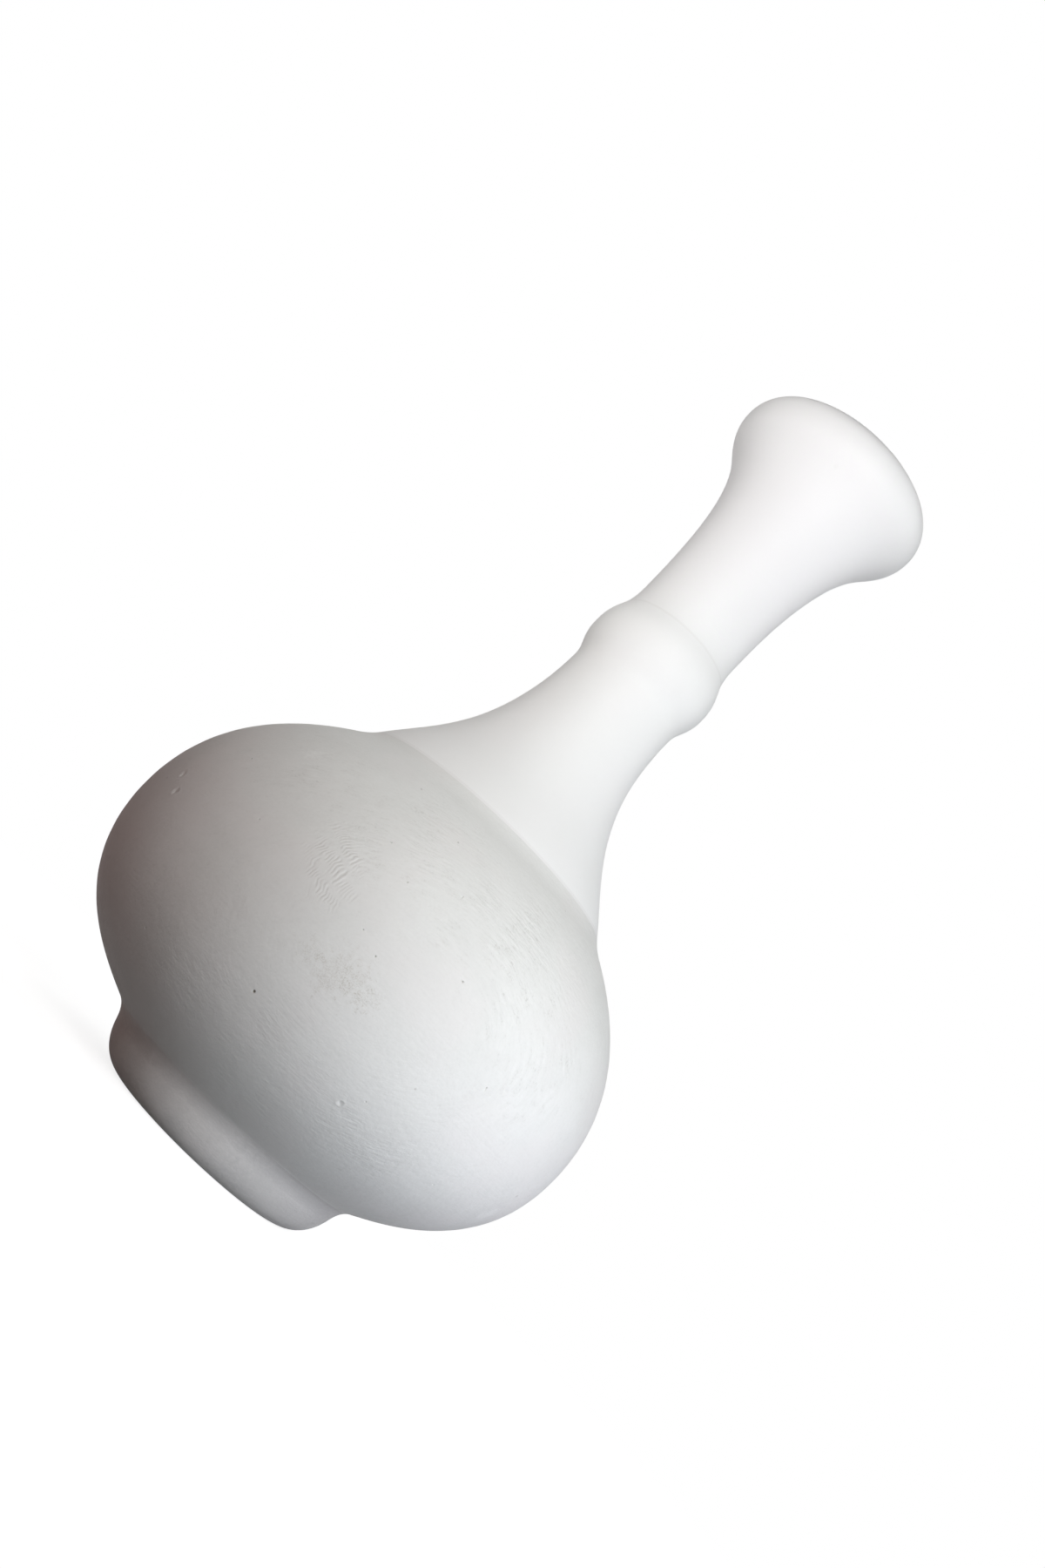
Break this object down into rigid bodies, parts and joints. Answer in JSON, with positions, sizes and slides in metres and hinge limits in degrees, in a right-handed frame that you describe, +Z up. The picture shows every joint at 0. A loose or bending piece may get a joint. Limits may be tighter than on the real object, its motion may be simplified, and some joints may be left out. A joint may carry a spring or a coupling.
{
  "type": "bisque bottle vase",
  "caption": "Unglazed bisque vase: round bulb on a low foot ring, slim flared neck with a soft raised ring, trumpet mouth with a rounded lip.",
  "frame": {"origin": "middle of the foot ring, on the surface that the vase stands on", "axes": "+Z up along the vase's axis, from the foot to the mouth; the vase is round, so X and Y are any two level directions"},
  "size_m": [0.0966, 0.0966, 0.17],
  "materials": {
    "bisque_body": "unglazed bisque, dry and matt, with fine turning lines",
    "bisque_neck": "unglazed bisque, sponged smooth and matt",
    "bisque_foot": "unglazed bisque, dry and matt, slightly handled",
    "dry_slip": "fired slip, matt"
  },
  "bodies": {
    "root": {"foot_ring": "bisque_foot", "foot_luting_slip": "dry_slip", "body_bulb": "bisque_body", "shoulder_luting_slip": "dry_slip", "neck_flute": "bisque_neck", "collar_luting_slip": "dry_slip", "trumpet_mouth": "bisque_neck"}
  },
  "joints": []
}
